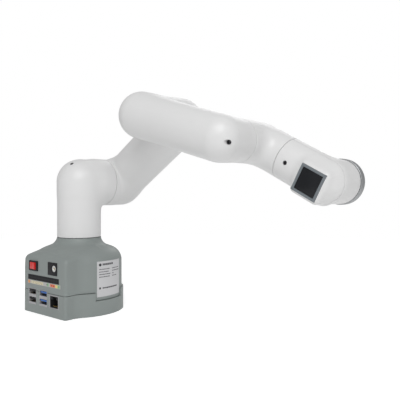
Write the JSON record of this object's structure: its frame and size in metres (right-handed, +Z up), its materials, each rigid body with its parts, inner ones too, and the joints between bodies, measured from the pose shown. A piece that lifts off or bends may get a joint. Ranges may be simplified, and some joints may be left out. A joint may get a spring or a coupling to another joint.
{
  "type": "robot arm",
  "caption": "Desktop six-axis collaborative robot arm: grey base with port panel, offset white tube links, push display on the wrist and a bolt-circle tool flange.",
  "frame": {"origin": "on the first (vertical) joint's axis at the mounting plane, the underside of the base", "axes": "+Z up along the first joint's axis, -X out of the port panel, +X along the tool flange's axis in the rest pose, -Y towards the outstretched arm"},
  "size_m": [0.1403, 0.3141, 0.2159],
  "materials": {
    "base_shell": "fine-grained moulded ABS, mid grey",
    "arm_shell": "satin moulded ABS, off-white",
    "brass_insert": "plain brass",
    "steel": "zinc-plated steel",
    "dark_screw": "black oxide steel",
    "circuit_board": "solder mask over glass-fibre laminate",
    "socket_can": "tin-plated pressed steel",
    "black_plastic": "moulded black nylon",
    "label_film": "printed white polyester film",
    "red_rocker": "gloss red moulded polycarbonate",
    "motor_case": "black moulded gear case",
    "horn_alloy": "machined aluminium",
    "flange_alloy": "bead-blasted, anodised grey",
    "wire_jacket": "silicone wire jackets",
    "bezel_plastic": "moulded grey frame",
    "display_gloss": "smoked gloss window over the light matrix"
  },
  "bodies": {
    "base": {"base_lower_shell": "base_shell", "base_upper_shell": "base_shell", "base_inserts": "brass_insert", "base_screws": "steel", "computer_board": "circuit_board", "board_standoffs": "steel", "motor_driver_board": "circuit_board", "usb2_stack": "socket_can", "usb3_stack": "socket_can", "ethernet_jack": "socket_can", "gpio_header": "black_plastic", "pinout_label": "label_film", "rating_label": "label_film", "rocker_bezel": "black_plastic", "dc_jack_body": "black_plastic", "dc_jack_contacts": "steel", "j1_gearmotor": "motor_case", "j1_bearing": "steel"},
    "turret": {"j1_output_shaft": "horn_alloy", "turret_shell": "arm_shell", "turret_screw": "dark_screw", "j2_gearmotor": "motor_case", "j2_bearing": "steel"},
    "upper_arm": {"j2_output_shaft": "horn_alloy", "upper_arm_shell": "arm_shell", "upper_arm_cover": "arm_shell", "upper_arm_screws": "dark_screw", "upper_arm_harness": "wire_jacket", "j3_gearmotor": "motor_case", "j3_bearing": "steel"},
    "forearm": {"j3_output_shaft": "horn_alloy", "forearm_shell": "arm_shell", "forearm_cover": "arm_shell", "forearm_screws": "dark_screw", "forearm_harness": "wire_jacket", "j4_gearmotor": "motor_case", "j4_bearing": "steel"},
    "wrist_1": {"j4_output_shaft": "horn_alloy", "wrist_1_shell": "arm_shell", "wrist_1_cover": "arm_shell", "wrist_1_screws": "dark_screw", "j5_gearmotor": "motor_case", "j5_bearing": "steel"},
    "wrist_2": {"j5_output_shaft": "horn_alloy", "wrist_2_shell": "arm_shell", "wrist_2_cover": "arm_shell", "wrist_2_screws": "dark_screw", "display_bezel": "bezel_plastic", "display_board": "circuit_board", "button_switch": "steel", "j6_gearmotor": "motor_case", "j6_bearing": "steel"},
    "tool": {"j6_output_shaft": "horn_alloy", "tool_flange": "flange_alloy", "flange_screws": "steel"},
    "rocker": {"power_rocker": "red_rocker"},
    "button": {"display_button": "display_gloss"}
  },
  "joints": [
    {"name": "j1_base_turn", "type": "hinge", "parent": "base", "child": "turret", "pos_m": [0, 0, 0.0745], "axis": [0, 0, 1], "range_deg": [-168, 168]},
    {"name": "j2_shoulder", "type": "hinge", "parent": "turret", "child": "upper_arm", "pos_m": [0.03, 0, 0.1314], "axis": [1, 0, 0], "range_deg": [-191, 78]},
    {"name": "j3_elbow", "type": "hinge", "parent": "upper_arm", "child": "forearm", "pos_m": [0.03, -0.09141, 0.19259], "axis": [-1, 0, 0], "range_deg": [-80, 200]},
    {"name": "j4_wrist_bend", "type": "hinge", "parent": "forearm", "child": "wrist_1", "pos_m": [0.03, -0.1824, 0.16529], "axis": [1, 0, 0], "range_deg": [-156, 133]},
    {"name": "j5_wrist_turn", "type": "hinge", "parent": "wrist_1", "child": "wrist_2", "pos_m": [0.0644, -0.1824, 0.16529], "axis": [0, -0.8821, -0.471], "range_deg": [-165, 165]},
    {"name": "j6_flange_turn", "type": "hinge", "parent": "wrist_2", "child": "tool", "pos_m": [0.0874, -0.24856, 0.12997], "axis": [1, 0, 0], "range_deg": [-175, 175]},
    {"name": "power_switch", "type": "hinge", "parent": "base", "child": "rocker", "pos_m": [-0.0394, 0.0171, 0.0472], "axis": [0, 0, 1], "range_deg": [0, 12]},
    {"name": "display_press", "type": "slide", "parent": "wrist_2", "child": "button", "axis": [1, 0, 0], "range_m": [0, 0.0008], "stiffness_N_per_m": 400, "springref_m": -0.0004}
  ]
}
